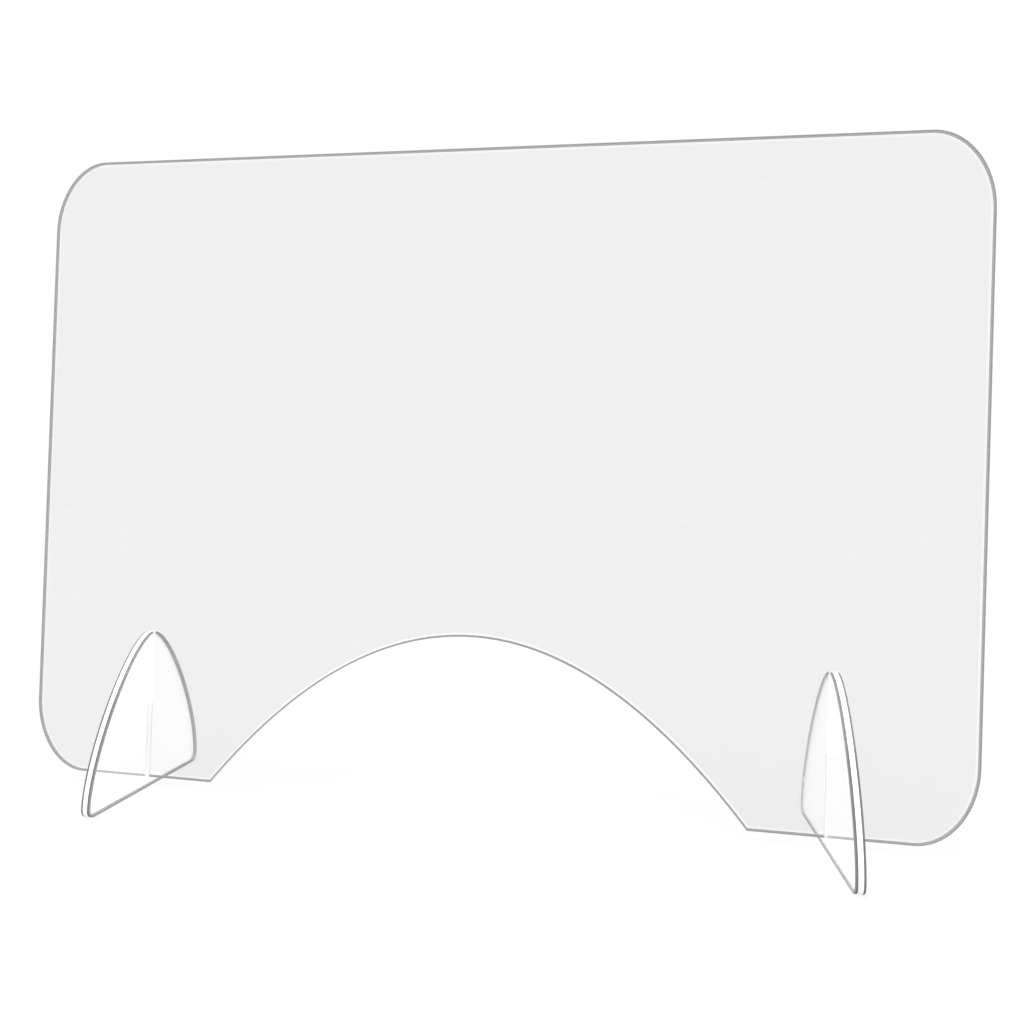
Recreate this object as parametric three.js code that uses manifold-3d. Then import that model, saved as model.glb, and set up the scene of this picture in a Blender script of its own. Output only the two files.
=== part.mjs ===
// A free-standing clear desk privacy panel. One flat upright sheet, with rounded corners and a wide
// arched opening in its lower edge, stands on two feet that cross it at right angles. Sheet and feet
// are flat pieces cut from clear acrylic. They interlock by halving joints: the sheet has a slot
// from its lower edge up, each foot has a slot from its tip down, and the ends of the slots meet.
//
// Millimetres. +X runs along the sheet, +Y points away from the person at the desk, +Z is up. The
// origin is on the desk top, under the middle of the sheet.

import * as THREE from 'three';
import { mergeVertices } from 'three/addons/utils/BufferGeometryUtils.js';
import Module from 'manifold-3d';

// Sheet
const sheetWidth = 880;
const sheetHeight = 610;
const sheetThickness = 5;
const sheetLift = 10; // clear gap between the desk and the sheet's lower edge
const cornerWidth = 52; // the corners are quarter ellipses, taller than they are wide
const cornerHeight = 70;

// Arched opening in the sheet's lower edge
const archRise = 155;
const archShoulder = 69; // straight lower edge from a foot's middle plane to the arch

// Feet
const footInset = 119; // from the end of the sheet to a foot's middle plane
const footLength = 168;
const footHeight = 153;
const footThickness = 8;
const footCorner = 8; // radius where a flank turns into the flat base
const tipReach = 31; // how far the rounded tip runs level before it bends down
const flankReach = 47; // how far each flank runs upright before it bends in

// Fits
const slotClearance = 0.3; // between a slot's wall and the piece in it, on each side
const seatClearance = 0.3; // between the ends of two slots that meet

// Making
const curveSegments = 32;
const overcut = 5; // how far a cutting block runs past the faces that it cuts

const footX = sheetWidth / 2 - footInset;
const archHalfSpan = footX - archShoulder;
const lapHeight = (sheetLift + footHeight) / 2; // where the two slots meet, halfway up the overlap

const wasm = await Module();
wasm.setup();

function solidFrom(geometry) {
  geometry.deleteAttribute('normal');
  geometry.deleteAttribute('uv');
  const merged = mergeVertices(geometry);
  return new wasm.Manifold(new wasm.Mesh({
    numProp: 3,
    vertProperties: merged.attributes.position.array,
    triVerts: new Uint32Array(merged.index.array),
  }));
}

function geometryFrom(solid) {
  const mesh = solid.getMesh();
  const geometry = new THREE.BufferGeometry();
  geometry.setAttribute('position', new THREE.BufferAttribute(mesh.vertProperties, mesh.numProp));
  geometry.setIndex(new THREE.BufferAttribute(mesh.triVerts, 1));
  geometry.computeVertexNormals();
  return geometry;
}

// A piece as it lies on the cutting bed: outline in X and Y, thickness centred on Z = 0.
function flatBlank(outline, thickness) {
  const geometry = new THREE.ExtrudeGeometry(outline, {
    depth: thickness,
    bevelEnabled: false,
    curveSegments,
  });
  geometry.translate(0, 0, -thickness / 2);
  return solidFrom(geometry);
}

// The block that cuts a straight slot centred on x, from low to high, right through a blank.
function slotBlock(x, width, low, high, thickness) {
  const geometry = new THREE.BoxGeometry(width, high - low, thickness + 2 * overcut);
  geometry.translate(x, (low + high) / 2, 0);
  return solidFrom(geometry);
}

// The sheet's outline, with its lower edge on Y = 0. A quadratic curve whose middle point is at
// twice the rise is a parabola that peaks at the rise.
function sheetOutline() {
  const cornerX = sheetWidth / 2 - cornerWidth;
  const upperCornerY = sheetHeight - cornerHeight;
  const quarter = Math.PI / 2;
  const outline = new THREE.Shape();
  outline.moveTo(-archHalfSpan, 0);
  outline.quadraticCurveTo(0, 2 * archRise, archHalfSpan, 0);
  outline.absellipse(cornerX, cornerHeight, cornerWidth, cornerHeight, -quarter, 0);
  outline.absellipse(cornerX, upperCornerY, cornerWidth, cornerHeight, 0, quarter);
  outline.absellipse(-cornerX, upperCornerY, cornerWidth, cornerHeight, quarter, 2 * quarter);
  outline.absellipse(-cornerX, cornerHeight, cornerWidth, cornerHeight, 2 * quarter, 3 * quarter);
  return outline;
}

function sheetGeometry() {
  const slotWidth = footThickness + 2 * slotClearance;
  const slotTop = lapHeight + seatClearance - sheetLift;
  let sheet = flatBlank(sheetOutline(), sheetThickness);
  for (const side of [-1, 1]) {
    sheet = sheet.subtract(slotBlock(side * footX, slotWidth, -overcut, slotTop, sheetThickness));
  }
  return geometryFrom(sheet);
}

// A foot's outline, with its base on Y = 0: a flat base, small round corners, and two flanks that
// start upright and lean in to a round tip.
function footOutline() {
  const halfLength = footLength / 2;
  const cornerX = halfLength - footCorner;
  const flankY = footCorner + flankReach;
  const outline = new THREE.Shape();
  outline.absarc(cornerX, footCorner, footCorner, -Math.PI / 2, 0);
  outline.bezierCurveTo(halfLength, flankY, tipReach, footHeight, 0, footHeight);
  outline.bezierCurveTo(-tipReach, footHeight, -halfLength, flankY, -halfLength, footCorner);
  outline.absarc(-cornerX, footCorner, footCorner, Math.PI, 1.5 * Math.PI);
  return outline;
}

function footGeometry() {
  const slotWidth = sheetThickness + 2 * slotClearance;
  const block = slotBlock(0, slotWidth, lapHeight, footHeight + overcut, footThickness);
  return geometryFrom(flatBlank(footOutline(), footThickness).subtract(block));
}

function clearAcrylic(color) {
  return new THREE.MeshStandardMaterial({
    color,
    roughness: 0.06,
    metalness: 0,
    transparent: true,
    opacity: 0.35,
    flatShading: true,
  });
}

// The sheet stands across the desk, facing the person who sits there.
function makePanel() {
  const mesh = new THREE.Mesh(sheetGeometry(), clearAcrylic(0xe9ebec));
  mesh.name = 'panel';
  mesh.rotation.x = Math.PI / 2;
  mesh.position.z = sheetLift;
  return mesh;
}

// A foot stands crosswise: its length runs along Y, its tip points up, its thickness is along X.
function makeFoot(name, side) {
  const mesh = new THREE.Mesh(footGeometry(), clearAcrylic(0xf3f4f5));
  mesh.name = name;
  mesh.rotation.set(Math.PI / 2, Math.PI / 2, 0);
  mesh.position.x = side * footX;
  return mesh;
}

const feet = new THREE.Group();
feet.add(makeFoot('left_foot', -1));
feet.add(makeFoot('right_foot', 1));

const deskPanel = new THREE.Group();
deskPanel.add(makePanel());
deskPanel.add(feet);

export default deskPanel;
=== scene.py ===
# %% [markdown]
# # A clear desk privacy panel
#
# The real object is three flat pieces cut from clear acrylic sheet: one large panel with an arch
# in its lower edge, and two feet that it slots down onto. There is nothing else to it, so all of
# its looks come from four things: crisp outlines, rounded arrises, clean edges, and acrylic that
# behaves like acrylic. This lesson makes each of them in turn.
#
# The design model fixes every place and size. It is loaded first, and each piece made here takes
# the place of one of its nodes.

import math

import bmesh
import bpy
from mathutils import Matrix, Vector


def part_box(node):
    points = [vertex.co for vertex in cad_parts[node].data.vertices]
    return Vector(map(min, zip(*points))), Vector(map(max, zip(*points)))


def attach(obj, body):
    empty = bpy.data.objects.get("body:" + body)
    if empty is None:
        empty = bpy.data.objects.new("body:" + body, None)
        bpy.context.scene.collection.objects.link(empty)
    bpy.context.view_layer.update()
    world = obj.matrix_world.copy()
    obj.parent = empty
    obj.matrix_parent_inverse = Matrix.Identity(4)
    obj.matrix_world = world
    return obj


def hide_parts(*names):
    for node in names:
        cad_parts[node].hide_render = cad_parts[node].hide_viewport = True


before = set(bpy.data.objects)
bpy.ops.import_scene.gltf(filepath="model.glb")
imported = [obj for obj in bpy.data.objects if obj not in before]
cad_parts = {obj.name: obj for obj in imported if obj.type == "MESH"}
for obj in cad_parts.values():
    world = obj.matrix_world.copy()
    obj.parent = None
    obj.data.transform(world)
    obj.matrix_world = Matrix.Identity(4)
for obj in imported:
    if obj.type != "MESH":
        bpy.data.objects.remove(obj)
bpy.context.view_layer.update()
panel_low, panel_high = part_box("panel")

# %% [markdown]
# ## The camera
#
# The panel is looked at from just right of its middle, a little above half its height, and from
# close by, through a wide lens. That closeness is why the left end looks lower than the right
# one. It could be aimed with a Track To constraint, but then the roll would need a second object.
# Three plain turns say it all: yaw about the upright, pitch up or down, and a small roll.

# %% Camera
EYE = Vector((0.131, -0.667, 0.276))
YAW, PITCH, ROLL = math.radians(-8.17), math.radians(0.5), math.radians(1.91)
LENS_MM = 25.7


def camera_turn(yaw, pitch, roll):
    level = math.cos(pitch)
    forward = Vector((math.sin(yaw) * level, math.cos(yaw) * level, math.sin(pitch)))
    right = Vector((math.cos(yaw), -math.sin(yaw), 0))
    up = right.cross(forward)
    rolled_right = right * math.cos(roll) + up * math.sin(roll)
    rolled_up = up * math.cos(roll) - right * math.sin(roll)
    return Matrix((rolled_right, rolled_up, -forward)).transposed()


camera_data = bpy.data.cameras.new("camera")
camera_data.lens = LENS_MM
camera_data.sensor_width = 36
camera_data.clip_start = 0.01
camera_data.dof.use_dof = False
camera = bpy.data.objects.new("camera", camera_data)
camera.matrix_world = Matrix.Translation(EYE) @ camera_turn(YAW, PITCH, ROLL).to_4x4()
bpy.context.collection.objects.link(camera)
bpy.context.scene.camera = camera
print("camera", round((EYE - Vector((0, 0, EYE.z))).length, 3), "m from the panel's middle")

# %% [markdown]
# ## Outlines
#
# A flat piece is its outline and its thickness. An outline here is a list of points round the
# piece, anticlockwise, in metres. It could be drawn as a Curve object, but a list of points is
# easier to measure and to cut slots into. Straight stretches need only their ends. Round ones are
# worked out from their formula with steps of about two millimetres, so that no facet shows, which
# is finer than the design model needs to be.

# %% Curve helpers
STEP = 0.002


def steps_for(length):
    return max(8, math.ceil(length / STEP))


def arc(centre, radius_x, radius_y, start, sweep):
    """Points along part of an ellipse, angles in degrees."""
    count = steps_for(math.radians(abs(sweep)) * max(radius_x, radius_y))
    angles = [math.radians(start + sweep * i / count) for i in range(count + 1)]
    return [(centre[0] + radius_x * math.cos(a), centre[1] + radius_y * math.sin(a)) for a in angles]


def parabola(half_span, rise):
    """Points along an arch, from its left springing over the top to its right one."""
    count = steps_for(2 * math.hypot(half_span, rise))
    xs = [half_span * (2 * i / count - 1) for i in range(count + 1)]
    return [(x, rise * (1 - (x / half_span) ** 2)) for x in xs]


def bezier(a, b, c, d):
    """Points along a cubic curve from a to d, pulled towards b and c."""
    count = steps_for(math.dist(a, b) + math.dist(b, c) + math.dist(c, d))
    points = []
    for i in range(count + 1):
        t = i / count
        weights = ((1 - t) ** 3, 3 * t * (1 - t) ** 2, 3 * t * t * (1 - t), t**3)
        points.append(tuple(sum(w * p[k] for w, p in zip(weights, (a, b, c, d))) for k in (0, 1)))
    return points


print("curves are stepped every", STEP * 1000, "mm")

# %% [markdown]
# ## From outline to piece
#
# An arris is the sharp corner where a face meets a cut edge. Sheet is cut and then has its
# arrises softened, so nobody is hurt by them. The mesh is made in the same order: two flat faces
# joined by a wall, then a Bevel modifier that rounds the arrises. A Solidify modifier could give
# the thickness, but here each wall has to know what it is. An outline comes in runs, so that a
# slot's wall stays sharp while the outer edge is softened, and each edge to be rounded carries a
# bevel weight.
#
# The modifier gives what it rounds a material of its own, and Harden Normals keeps the flat faces
# looking flat. A face with hundreds of corners is fine, because it is flat. The panel also gets a
# narrow rim round its faces, made with Inset, with a nearly untinted finish: a painted glow of the
# light that a sheet carries to its edges.
#
# Each piece is hidden from diffuse rays, so the floor gathers the room's light as if the acrylic
# were not there. Shadow rays already let light through it, and bent diffuse rays could count some
# of that light twice. Shadows are traced by shadow rays, so this leaves them as they are.

# %% Flat pieces
FACE, EDGE, SLOT, ARRIS, RIM = 0, 1, 2, 3, 4
SHARP_TURN = math.radians(20)
ARRIS_SEGMENTS = 6
ARRIS_SQUARENESS = 0.8


def turn_at(points, i):
    """How far the outline turns at its point i, in radians."""
    before, here, after = (Vector(points[k % len(points)]) for k in (i - 1, i, i + 1))
    return abs((here - before).angle_signed(after - here, 0))


def flat_piece(name, runs, thickness, place, finishes, arris, rim=0.0):
    """A sheet-cut piece. Each run is a wall's finish and its points in local X and Y."""
    points = [point for finish, run in runs for point in run]
    walls = [finish for finish, run in runs for point in run]
    mesh = bmesh.new()
    softened = mesh.edges.layers.float.new("bevel_weight_edge")
    sides = [[mesh.verts.new((x, y, z)) for x, y in points] for z in (-thickness / 2, thickness / 2)]
    faces = [mesh.faces.new(list(reversed(sides[0]))), mesh.faces.new(sides[1])]
    arrises = set()
    for i, finish in enumerate(walls):
        j = (i + 1) % len(points)
        wall = mesh.faces.new((sides[0][i], sides[0][j], sides[1][j], sides[1][i]))
        wall.material_index = finish
        mesh.edges.get((sides[0][i], sides[1][i])).smooth = turn_at(points, i) < SHARP_TURN
        for side in sides:
            arris_edge = mesh.edges.get((side[i], side[j]))
            arris_edge.smooth = finish == EDGE
            if finish == EDGE:
                arrises.add(arris_edge)
    mesh.normal_update()
    # The ring next to the arrises takes the rim finish, a painted glow along the edge.
    if rim:
        ring = bmesh.ops.inset_region(mesh, faces=faces, thickness=rim, use_even_offset=True)
        for face in ring["faces"]:
            face.material_index = RIM if arrises.intersection(face.edges) else FACE
    for edge in mesh.edges:
        edge[softened] = float(edge in arrises)
    for face in mesh.faces:
        face.smooth = True
    data = bpy.data.meshes.new(name)
    mesh.to_mesh(data)
    mesh.free()
    for finish in finishes:
        data.materials.append(finish)
    piece = bpy.data.objects.new(name, data)
    bpy.context.collection.objects.link(piece)
    piece.matrix_world = place
    piece.visible_diffuse = False
    bevel = piece.modifiers.new("softened arrises", "BEVEL")
    bevel.limit_method = "WEIGHT"
    bevel.width = arris
    bevel.segments = ARRIS_SEGMENTS
    bevel.profile = ARRIS_SQUARENESS
    bevel.material = ARRIS
    bevel.harden_normals = True
    print(name, len(points), "outline points,", round(thickness * 1000, 1), "mm thick")
    return piece


print("arrises are rounded in", ARRIS_SEGMENTS, "steps")

# %% [markdown]
# ## Effects that the finishes share
#
# Acrylic is soft, so even a new sheet has a few hairline scratches, wipe marks and specks of
# dust. Image textures could show them, but they would blur close up and need UVs. Here each
# effect is a node group that works in the piece's own coordinates, in metres, and puts out one
# number from 0 to 1, so that a finish can use as much of it as it needs. These helpers keep the
# building of nodes short.

# %% Node helpers
def new_group(name, inputs, outputs):
    group = bpy.data.node_groups.new(name, "ShaderNodeTree")
    for socket, kind, value in inputs:
        made = group.interface.new_socket(socket, in_out="INPUT", socket_type=kind)
        if value is not None:
            made.default_value = value
    for socket, kind in outputs:
        group.interface.new_socket(socket, in_out="OUTPUT", socket_type=kind)
    return group, group.nodes.new("NodeGroupInput"), group.nodes.new("NodeGroupOutput")


def node(tree, kind, **settings):
    made = tree.nodes.new(kind)
    for key, value in settings.items():
        setattr(made, key, value)
    return made


def maths(tree, operation, first, second=None, third=None):
    """A Math node. Each operand is a number or a socket."""
    made = node(tree, "ShaderNodeMath", operation=operation)
    for socket, operand in zip(made.inputs, (first, second, third)):
        if isinstance(operand, (int, float)):
            socket.default_value = operand
        elif operand is not None:
            tree.links.new(operand, socket)
    return made.outputs[0]


print("node helpers are ready")

# %% [markdown]
# ## Noise and thresholds
#
# Most of the effects are noise with a threshold. Map Range makes the threshold, and a Mapping
# node of the Texture kind stretches the noise, so that its scale reads directly as the size of a
# feature in metres.


# %% Noise helpers
def ramp(tree, value, low, high):
    """0 below low, 1 above high, smooth between. It runs downhill when low is over high."""
    made = node(tree, "ShaderNodeMapRange", interpolation_type="SMOOTHSTEP")
    made.inputs["From Min"].default_value = low
    made.inputs["From Max"].default_value = high
    tree.links.new(value, made.inputs["Value"])
    return made.outputs["Result"]


def noise(tree, vector, scale, detail=2.0, roughness=0.5):
    made = node(tree, "ShaderNodeTexNoise")
    made.inputs["Scale"].default_value = scale
    made.inputs["Detail"].default_value = detail
    made.inputs["Roughness"].default_value = roughness
    tree.links.new(vector, made.inputs["Vector"])
    return made.outputs["Fac"]


def stretched(tree, vector, turn, scale):
    """The coordinates turned about the sheet's upright and then scaled along each axis."""
    made = node(tree, "ShaderNodeMapping", vector_type="TEXTURE")
    made.inputs["Rotation"].default_value = (0, 0, math.radians(turn))
    made.inputs["Scale"].default_value = scale
    tree.links.new(vector, made.inputs["Vector"])
    return made.outputs["Vector"]


print("noise helpers are ready")

# %% [markdown]
# ## Hairline scratches
#
# Wiping drags grit across the sheet in short, straight strokes. Noise that is stretched eighty
# times longer than wide has long thin contours, and keeping only a sliver about its middle value
# turns them into hairlines. Three directions are laid over each other, and a blotchy mask breaks
# each into strokes.


# %% Hairline scratches
HAIR_DIRECTIONS = (12, 77, 131)
HAIR_SIZE = (0.09, 0.0011, 1)
HAIR_HALF_WIDTH = 0.006
PATCH_SIZE = (0.07, 0.03, 1)
PATCH_TURN = 35


def make_scratches():
    """Short straight hairlines in a few directions, each there only where a blotch lets it be."""
    group, given, result = new_group(
        "hairline scratches",
        [("Vector", "NodeSocketVector", None)],
        [("Scratches", "NodeSocketFloat")],
    )
    lines = None
    for turn in HAIR_DIRECTIONS:
        along = stretched(group, given.outputs["Vector"], turn, HAIR_SIZE)
        from_middle = maths(group, "ABSOLUTE", maths(group, "SUBTRACT", noise(group, along, 1, 0), 0.5))
        thin = ramp(group, from_middle, HAIR_HALF_WIDTH, 0.0)
        aslant = stretched(group, given.outputs["Vector"], turn + PATCH_TURN, PATCH_SIZE)
        patch = noise(group, aslant, 1, 1)
        line = maths(group, "MULTIPLY", thin, ramp(group, patch, 0.58, 0.7))
        lines = line if lines is None else maths(group, "MAXIMUM", lines, line)
    group.links.new(lines, result.inputs["Scratches"])
    return group


scratches = make_scratches()
print("group:", scratches.name)

# %% [markdown]
# ## Wipe marks
#
# A cloth leaves broad, soft, slanting smears that show only where they catch the light. They are
# stretched noise too, but wide and soft, and a second noise decides where there are any.


# %% Wipe marks
WIPE_DIRECTION = 24
WIPE_SIZE = (0.22, 0.05, 1)
BLOTCHES_PER_METRE = 7


def make_wipe_marks():
    """Broad, soft, slightly streaked patches that a cloth leaves behind."""
    group, given, result = new_group(
        "wipe marks",
        [("Vector", "NodeSocketVector", None)],
        [("Marks", "NodeSocketFloat")],
    )
    along = stretched(group, given.outputs["Vector"], WIPE_DIRECTION, WIPE_SIZE)
    sweep = noise(group, along, 1, 3, 0.6)
    blotch = noise(group, given.outputs["Vector"], BLOTCHES_PER_METRE, 2)
    marks = maths(group, "MULTIPLY", ramp(group, sweep, 0.45, 0.7), ramp(group, blotch, 0.4, 0.7))
    group.links.new(marks, result.inputs["Marks"])
    return group


wipe_marks = make_wipe_marks()
print("group:", wipe_marks.name)

# %% [markdown]
# ## Dust
#
# Acrylic holds a charge, so it draws dust. A Voronoi texture has one point in each cell, which is
# right for specks: a small disc is drawn about each point, and most cells are left empty by
# looking at their random colour.


# %% Dust
CELLS_PER_METRE = 90.0
SPECK_EDGE = (0.045, 0.02)
EMPTY_SHARE = (0.72, 0.74)


def make_dust():
    """Sparse specks, some tenths of a millimetre across."""
    group, given, result = new_group(
        "dust specks",
        [("Vector", "NodeSocketVector", None), ("Per Metre", "NodeSocketFloat", CELLS_PER_METRE)],
        [("Specks", "NodeSocketFloat")],
    )
    cells = node(group, "ShaderNodeTexVoronoi")
    group.links.new(given.outputs["Vector"], cells.inputs["Vector"])
    group.links.new(given.outputs["Per Metre"], cells.inputs["Scale"])
    speck = ramp(group, cells.outputs["Distance"], *SPECK_EDGE)
    chosen = node(group, "ShaderNodeSeparateColor")
    group.links.new(cells.outputs["Color"], chosen.inputs["Color"])
    kept = ramp(group, chosen.outputs["Red"], *EMPTY_SHARE)
    group.links.new(maths(group, "MULTIPLY", speck, kept), result.inputs["Specks"])
    return group


dust = make_dust()
print("group:", dust.name)

# %% [markdown]
# ## Cut lines
#
# A blade or a laser leaves fine lines straight across the thickness of a cut edge. They are noise
# that is squeezed along the edge and stretched across it, with a slower noise added, because the
# cut never runs quite evenly.


# %% Cut lines
FINE_LINE_SIZE = (0.0007, 0.0007, 0.05)
BROAD_LINE_SIZE = (0.012, 0.012, 0.05)
FINE_SHARE = 0.65


def make_cut_lines():
    """Fine lines straight across the thickness, which a blade or a laser leaves on a cut edge."""
    group, given, result = new_group(
        "cut lines",
        [("Vector", "NodeSocketVector", None)],
        [("Lines", "NodeSocketFloat")],
    )
    fine = noise(group, stretched(group, given.outputs["Vector"], 0, FINE_LINE_SIZE), 1, 2, 0.6)
    broad = noise(group, stretched(group, given.outputs["Vector"], 0, BROAD_LINE_SIZE), 1, 1)
    fine_part = maths(group, "MULTIPLY", fine, FINE_SHARE)
    lines = maths(group, "MULTIPLY_ADD", broad, 1 - FINE_SHARE, fine_part)
    group.links.new(lines, result.inputs["Lines"])
    return group


cut_lines = make_cut_lines()
print("group:", cut_lines.name)

# %% [markdown]
# ## Clear acrylic
#
# Acrylic bends light a little less than window glass: its index is 1.49. A Principled shader with
# full transmission does that. Lamps can't find their way through bent light in a path tracer, so
# for shadow rays only, the shader is swapped for a plain see-through one of the same tint, and
# the panel throws the faint shadow that a clear sheet really throws. A Glass shader would bend
# light as well, but Principled keeps its transmission when the model is exported.

# %% Shader helpers
ACRYLIC_INDEX = 1.49


def use_group(tree, group, vector):
    made = node(tree, "ShaderNodeGroup", node_tree=group)
    tree.links.new(vector, made.inputs["Vector"])
    return made


def clear_material(name, tint, clearness=1.0):
    """A material with a refracting Principled shader that lets lamps through. Returns its parts."""
    material = bpy.data.materials.new(name)
    material.use_nodes = True
    tree = material.node_tree
    tree.nodes.clear()
    output = node(tree, "ShaderNodeOutputMaterial")
    shader = node(tree, "ShaderNodeBsdfPrincipled")
    shader.inputs["Base Color"].default_value = (*tint, 1)
    shader.inputs["IOR"].default_value = ACRYLIC_INDEX
    shader.inputs["Transmission Weight"].default_value = clearness
    open_way = node(tree, "ShaderNodeBsdfTransparent")
    open_way.inputs["Color"].default_value = (*(0.5 + 0.5 * c for c in tint), 1)
    path = node(tree, "ShaderNodeLightPath")
    swap = node(tree, "ShaderNodeMixShader")
    tree.links.new(path.outputs["Is Shadow Ray"], swap.inputs["Fac"])
    tree.links.new(shader.outputs[0], swap.inputs[1])
    tree.links.new(open_way.outputs[0], swap.inputs[2])
    tree.links.new(swap.outputs[0], output.inputs["Surface"])
    place = node(tree, "ShaderNodeTexCoord").outputs["Object"]
    return material, tree, shader, place


def add_bump(tree, shader, height, distance):
    bump = node(tree, "ShaderNodeBump")
    bump.inputs["Distance"].default_value = distance
    bump.inputs["Strength"].default_value = 1
    tree.links.new(height, bump.inputs["Height"])
    tree.links.new(bump.outputs["Normal"], shader.inputs["Normal"])


def mixed(tree, amount, low, high):
    """A number that is low where amount is 0 and high where it is 1."""
    return maths(tree, "MULTIPLY_ADD", amount, high - low, low)


def between(tree, amount, low, high):
    """A colour that is low where amount is 0 and high where it is 1, each a colour or a socket."""
    made = node(tree, "ShaderNodeMix", data_type="RGBA")
    for socket, colour in (("A", low), ("B", high)):
        if isinstance(colour, tuple):
            made.inputs[socket].default_value = (*colour, 1)
        else:
            tree.links.new(colour, made.inputs[socket])
    tree.links.new(amount, made.inputs["Factor"])
    return made.outputs["Result"]


def scaled(colour, by):
    return tuple(min(1, by * c) for c in colour)


print("acrylic's index", ACRYLIC_INDEX)

# %% [markdown]
# ## The sheet's face
#
# The face is nearly perfect. Scratches, specks and wipe marks make it rougher and a little
# darker, and a long, shallow wave in its height makes reflections swim slightly, as they do in
# cast sheet. The panel's tint is what makes it read as a pale grey pane. Its rim has next to no
# tint, which is a painted glow of the light that a sheet carries to its edges. The feet have
# hardly any tint either, but they are handled more, so a little of their surface is left as haze
# that scatters light instead of passing it.


# %% Sheet face
CLEAN_ROUGHNESS, WIPED_ROUGHNESS, WORN_ROUGHNESS = 0.004, 0.03, 0.3
WORN_SHADE = 0.93
WAVES_PER_METRE = 3.5
WAVE_HEIGHT = 0.0004
SCRATCH_DEPTH = 0.02


def face_finish(name, tint, clearness=1.0):
    material, tree, shader, place = clear_material(name, tint, clearness)
    hair = use_group(tree, scratches, place).outputs["Scratches"]
    marks = use_group(tree, wipe_marks, place).outputs["Marks"]
    specks = use_group(tree, dust, place).outputs["Specks"]
    worn = maths(tree, "MAXIMUM", hair, specks)
    wiped = mixed(tree, marks, CLEAN_ROUGHNESS, WIPED_ROUGHNESS)
    rough = maths(tree, "MULTIPLY_ADD", worn, WORN_ROUGHNESS, wiped)
    tree.links.new(rough, shader.inputs["Roughness"])
    wave = noise(tree, place, WAVES_PER_METRE, 1)
    height = maths(tree, "MULTIPLY_ADD", hair, -SCRATCH_DEPTH, wave)
    add_bump(tree, shader, height, WAVE_HEIGHT)
    shade = between(tree, worn, tint, scaled(tint, WORN_SHADE))
    tree.links.new(shade, shader.inputs["Base Color"])
    return material


panel_face = face_finish("panel acrylic face", (0.845, 0.847, 0.849))
# Painted glow: the rim is left nearly untinted, so the panel reads brighter along its edge.
panel_rim_painted_glow = face_finish("panel rim painted glow", (0.995, 0.997, 0.999))
foot_face = face_finish("foot acrylic face", (0.985, 0.987, 0.989), 0.97)
print("faces:", ", ".join(m.name for m in (panel_face, panel_rim_painted_glow, foot_face)))

# %% [markdown]
# ## Cut edges and arrises
#
# A cut edge is satin, because its fine lines scatter light. From outside it looks almost white.
# Seen through the acrylic it is grey, because most of its light goes off sideways, and that grey
# is painted shade: Backfacing tells the two sides apart, so one finish has a colour for each.
#
# The softened arrises send light anywhere but to the eye, and draw the thin dark outline that
# clear acrylic is known by. Refraction alone would do that too, but as a broken, grainy line. A
# dull grey satin gives the same line steadily: its grey is painted shade. The feet's arrises are
# wider, and painted darker, because their sheet is thicker.


# %% Cut edge
SATIN_CLEARNESS = 0.3
LINE_CONTRAST = 0.06
LINE_HEIGHT = 0.00006


def edge_finish(name, outer, smoothest, roughest, inner_painted_shade=None, gloss=0.5):
    """A satin surface with a colour from outside, and maybe a painted shade seen through the acrylic.
    """
    material, tree, shader, place = clear_material(name, outer, SATIN_CLEARNESS)
    shader.inputs["Specular IOR Level"].default_value = gloss
    lines = use_group(tree, cut_lines, place).outputs["Lines"]
    tree.links.new(mixed(tree, lines, smoothest, roughest), shader.inputs["Roughness"])
    add_bump(tree, shader, lines, LINE_HEIGHT)
    shade = between(tree, lines, scaled(outer, 1 - LINE_CONTRAST), scaled(outer, 1 + LINE_CONTRAST))
    # Seen from inside, the edge gets a darker colour: painted shade.
    if inner_painted_shade:
        behind = node(tree, "ShaderNodeNewGeometry").outputs["Backfacing"]
        shade = between(tree, behind, shade, inner_painted_shade)
    tree.links.new(shade, shader.inputs["Base Color"])
    return material


bright = (0.975, 0.98, 0.985)
# The darker second colour of each cut edge is painted shade, seen through the acrylic.
panel_edge = edge_finish("panel cut edge", bright, 0.2, 0.4, inner_painted_shade=(0.4, 0.41, 0.418))
foot_edge = edge_finish("foot cut edge", (0.88, 0.885, 0.89), 0.2, 0.4, inner_painted_shade=(0.24, 0.243, 0.246))
slot_wall = edge_finish("slot wall", bright, 0.4, 0.7)
# The arrises' dark grey is painted shade, in place of the dark line that refraction draws.
panel_arris_painted_shade = edge_finish("panel arris painted shade", (0.31, 0.323, 0.332), 0.3, 0.5)
foot_arris_painted_shade = edge_finish("foot arris painted shade", (0.11, 0.112, 0.114), 0.3, 0.5, gloss=0.1)
edge_finishes = (panel_edge, foot_edge, slot_wall, panel_arris_painted_shade, foot_arris_painted_shade)
print("edges:", ", ".join(m.name for m in edge_finishes))

# %% [markdown]
# ## The panel
#
# The panel lies on the bench as it is cut, with its lower edge along local X, and is then stood
# up on that edge. It could be cut with Booleans, but an outline that already has the arch and the
# slots in it leaves no stray faces. Its corners are quarter ellipses, taller than wide. The arch
# is a parabola that springs from the straight lower edge. Each foot has a slot waiting for it, a
# little wider than the foot is thick, and as high as half of the height over which the two
# pieces cross.

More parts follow.
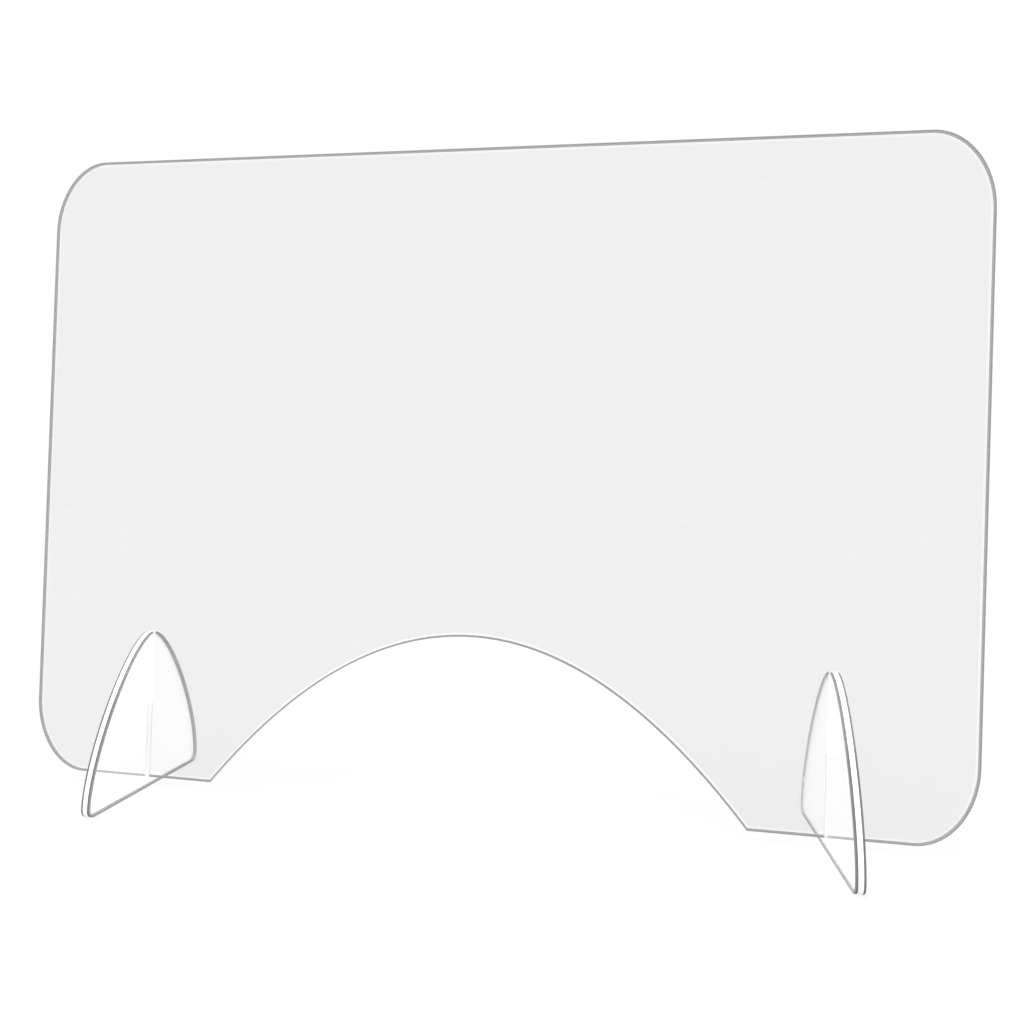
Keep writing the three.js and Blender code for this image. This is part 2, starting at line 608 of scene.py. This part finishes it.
# %% Sizes from the frame
right_low, right_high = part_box("right_foot")
WIDTH = panel_high.x - panel_low.x
HEIGHT = panel_high.z - panel_low.z
THICKNESS = panel_high.y - panel_low.y
FOOT_X = (right_low.x + right_high.x) / 2
FOOT_LENGTH = right_high.y - right_low.y
FOOT_THICKNESS = right_high.x - right_low.x
FOOT_HEIGHT = 0.153
CORNER_WIDTH, CORNER_HEIGHT = 0.052, 0.070
ARCH_HALF_SPAN, ARCH_RISE = FOOT_X - 0.069, 0.155
CLEARANCE = 0.0003
LAP_HEIGHT = (panel_low.z + FOOT_HEIGHT) / 2
print("panel", round(WIDTH, 4), "x", round(HEIGHT, 4), "m, slots meet at", round(LAP_HEIGHT, 4))


# %% Panel outline
RIM_WIDTH = 0.0035
PANEL_ARRIS_WIDTH = 0.0015


def slot_up(x, width, top):
    """The wall of a slot that opens at the lower edge, without its last point."""
    half = width / 2
    return [(x - half, 0), (x - half, top), (x + half, top)]


def panel_runs():
    side = WIDTH / 2 - CORNER_WIDTH
    top = HEIGHT - CORNER_HEIGHT
    slot = FOOT_THICKNESS + 2 * CLEARANCE
    slot_top = LAP_HEIGHT + CLEARANCE - panel_low.z
    corner = (CORNER_WIDTH, CORNER_HEIGHT)
    outside = [
        (FOOT_X + slot / 2, 0),
        *arc((side, CORNER_HEIGHT), *corner, -90, 90),
        *arc((side, top), *corner, 0, 90),
        *arc((-side, top), *corner, 90, 90),
        *arc((-side, CORNER_HEIGHT), *corner, 180, 90),
    ]
    inside = [(slot / 2 - FOOT_X, 0), *parabola(ARCH_HALF_SPAN, ARCH_RISE)]
    return [
        (EDGE, inside),
        (SLOT, slot_up(FOOT_X, slot, slot_top)),
        (EDGE, outside),
        (SLOT, slot_up(-FOOT_X, slot, slot_top)),
    ]


print("arch", round(2 * ARCH_HALF_SPAN, 4), "m wide and", ARCH_RISE, "m high")

# %% Stand the panel up
stand_up = Matrix.Rotation(math.radians(90), 4, "X")
panel = flat_piece(
    "clear_panel",
    panel_runs(),
    THICKNESS,
    Matrix.Translation((0, 0, panel_low.z)) @ stand_up,
    (panel_face, panel_edge, slot_wall, panel_arris_painted_shade, panel_rim_painted_glow),
    PANEL_ARRIS_WIDTH,
    RIM_WIDTH,
)
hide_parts("panel")
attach(panel, "panel")

# %% [markdown]
# ## The feet
#
# A foot is cut from thicker sheet. From its flat base two small round corners lead into flanks
# that start upright and lean in to a round tip, and the panel's slot runs down from the tip to
# half height. A flank is one Bezier curve, which is what its maker would have drawn. Both feet
# are the same piece, turned a quarter round so that they cross the panel.

# %% Foot outline
FOOT_CORNER, TIP_REACH, FLANK_REACH = 0.008, 0.031, 0.047
FOOT_ARRIS_WIDTH = 0.002


def foot_runs():
    half = FOOT_LENGTH / 2
    slot_half = THICKNESS / 2 + CLEARANCE
    start = (half, FOOT_CORNER)
    pulled = (half, FOOT_CORNER + FLANK_REACH)
    flank = bezier(start, pulled, (TIP_REACH, FOOT_HEIGHT), (0, FOOT_HEIGHT))
    flank = [point for point in flank[1:] if point[0] > slot_half + STEP / 2]
    lip = (slot_half, (flank[-1][1] + FOOT_HEIGHT) / 2)
    right_side = [*arc((half - FOOT_CORNER, FOOT_CORNER), FOOT_CORNER, FOOT_CORNER, -90, 90), *flank]
    left_side = [(-x, y) for x, y in reversed(right_side)]
    slot = [lip, (slot_half, LAP_HEIGHT), (-slot_half, LAP_HEIGHT)]
    return [(EDGE, right_side), (SLOT, slot), (EDGE, [(-lip[0], lip[1]), *left_side])]


print("foot", round(FOOT_LENGTH, 4), "x", FOOT_HEIGHT, "m,", round(FOOT_THICKNESS, 4), "m thick")

# %% Stand the feet up
crosswise = Matrix.Rotation(math.radians(90), 4, "Z") @ stand_up
feet = []
for side, x in (("left", -FOOT_X), ("right", FOOT_X)):
    node_name = side + "_foot"
    foot = flat_piece(
        side + "_clear_foot",
        foot_runs(),
        FOOT_THICKNESS,
        Matrix.Translation((x, 0, 0)) @ crosswise,
        (foot_face, foot_edge, slot_wall, foot_arris_painted_shade),
        FOOT_ARRIS_WIDTH,
    )
    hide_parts(node_name)
    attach(foot, node_name)
    feet.append(foot)

# %% [markdown]
# ## Floor
#
# Clear things are lit from behind: everything beyond them is bright, so the sheet reads as a
# faint grey tone and its arrises draw thin dark lines. The floor is a wide pale disc, matt so
# that it mirrors nothing, and as bright as the room beyond it, so no horizon shows. A curved
# backdrop would hide the horizon too, but only from one side.

# %% Floor
FLOOR_RADIUS = 60
FLOOR_SHADE = 0.88
FLOOR_DROP = 0.0002


def make_floor():
    mesh = bmesh.new()
    bmesh.ops.create_circle(mesh, cap_ends=True, segments=96, radius=FLOOR_RADIUS)
    data = bpy.data.meshes.new("floor")
    mesh.to_mesh(data)
    mesh.free()
    floor = bpy.data.objects.new("floor", data)
    floor.location.z = -FLOOR_DROP
    bpy.context.collection.objects.link(floor)
    material = bpy.data.materials.new("pale floor")
    material.use_nodes = True
    shader = material.node_tree.nodes["Principled BSDF"]
    shader.inputs["Base Color"].default_value = (FLOOR_SHADE, FLOOR_SHADE, FLOOR_SHADE, 1)
    shader.inputs["Roughness"].default_value = 1
    shader.inputs["Specular IOR Level"].default_value = 0
    data.materials.append(material)


make_floor()
print("floor", FLOOR_RADIUS, "m in radius")

# %% [markdown]
# ## Room
#
# The room is an even white all round, as inside a light tent, so the panel looks equally calm
# from every side. It is a little dimmer straight above, where a lamp takes over, because a lamp
# shades the floor softly and an even room doesn't.

# %% Room
ROOM_LIGHT, CEILING_LIGHT = 1.02, 0.75
CEILING_FROM, CEILING_TO = 0.6, 0.95


def make_room():
    world = bpy.data.worlds.new("room")
    world.use_nodes = True
    tree = world.node_tree
    background = tree.nodes["Background"]
    direction = node(tree, "ShaderNodeSeparateXYZ")
    tree.links.new(node(tree, "ShaderNodeTexCoord").outputs["Generated"], direction.inputs[0])
    overhead = ramp(tree, direction.outputs["Z"], CEILING_FROM, CEILING_TO)
    tree.links.new(mixed(tree, overhead, ROOM_LIGHT, CEILING_LIGHT), background.inputs["Strength"])
    background.inputs["Color"].default_value = (1, 1, 1, 1)
    bpy.context.scene.world = world


make_room()
print("room", ROOM_LIGHT, "all round,", CEILING_LIGHT, "overhead")

# %% [markdown]
# ## Lamps
#
# One wide, soft sun shines from above. Two low ones shine from the sides, square onto the feet's
# faces, and light up their haze, so the feet stand out white against the grey panel. Light
# linking keeps those two off the panel and the floor, and they are hidden from mirrored and bent
# light, where a sun's disc would show as a spot. Standard view transform is chosen so that white
# stays white, and acrylic inside acrylic needs more bounces than Blender allows at first.


# %% Lamps
OVERHEAD_STRENGTH, OVERHEAD_WIDTH = 0.86, 40
SIDE_STRENGTH, SIDE_WIDTH = 8.8, 30
SIDE_TURN, SIDE_TILT = 84, 74
CLEAR_BOUNCES = 24


def make_sun(name, turn, tilt, strength, width):
    """A wide soft sun that shines from one side at a slant. Angles in degrees."""
    lamp = bpy.data.lights.new(name, "SUN")
    lamp.energy = strength
    lamp.angle = math.radians(width)
    made = bpy.data.objects.new(name, lamp)
    made.rotation_euler = (math.radians(tilt), 0, math.radians(turn))
    bpy.context.collection.objects.link(made)
    print(name, "strength", strength)
    return made


make_sun("overhead light", -35, 24, OVERHEAD_STRENGTH, OVERHEAD_WIDTH)

lit_feet = bpy.data.collections.new("lit feet")
for foot in feet:
    lit_feet.objects.link(foot)
for name, turn in (("light from the right", SIDE_TURN), ("light from the left", -SIDE_TURN)):
    side_light = make_sun(name, turn, SIDE_TILT, SIDE_STRENGTH, SIDE_WIDTH)
    side_light.visible_glossy = False
    side_light.visible_transmission = False
    side_light.light_linking.receiver_collection = lit_feet

scene = bpy.context.scene
scene.view_settings.view_transform = "Standard"
scene.cycles.max_bounces = CLEAR_BOUNCES
scene.cycles.transmission_bounces = CLEAR_BOUNCES
scene.cycles.transparent_max_bounces = CLEAR_BOUNCES
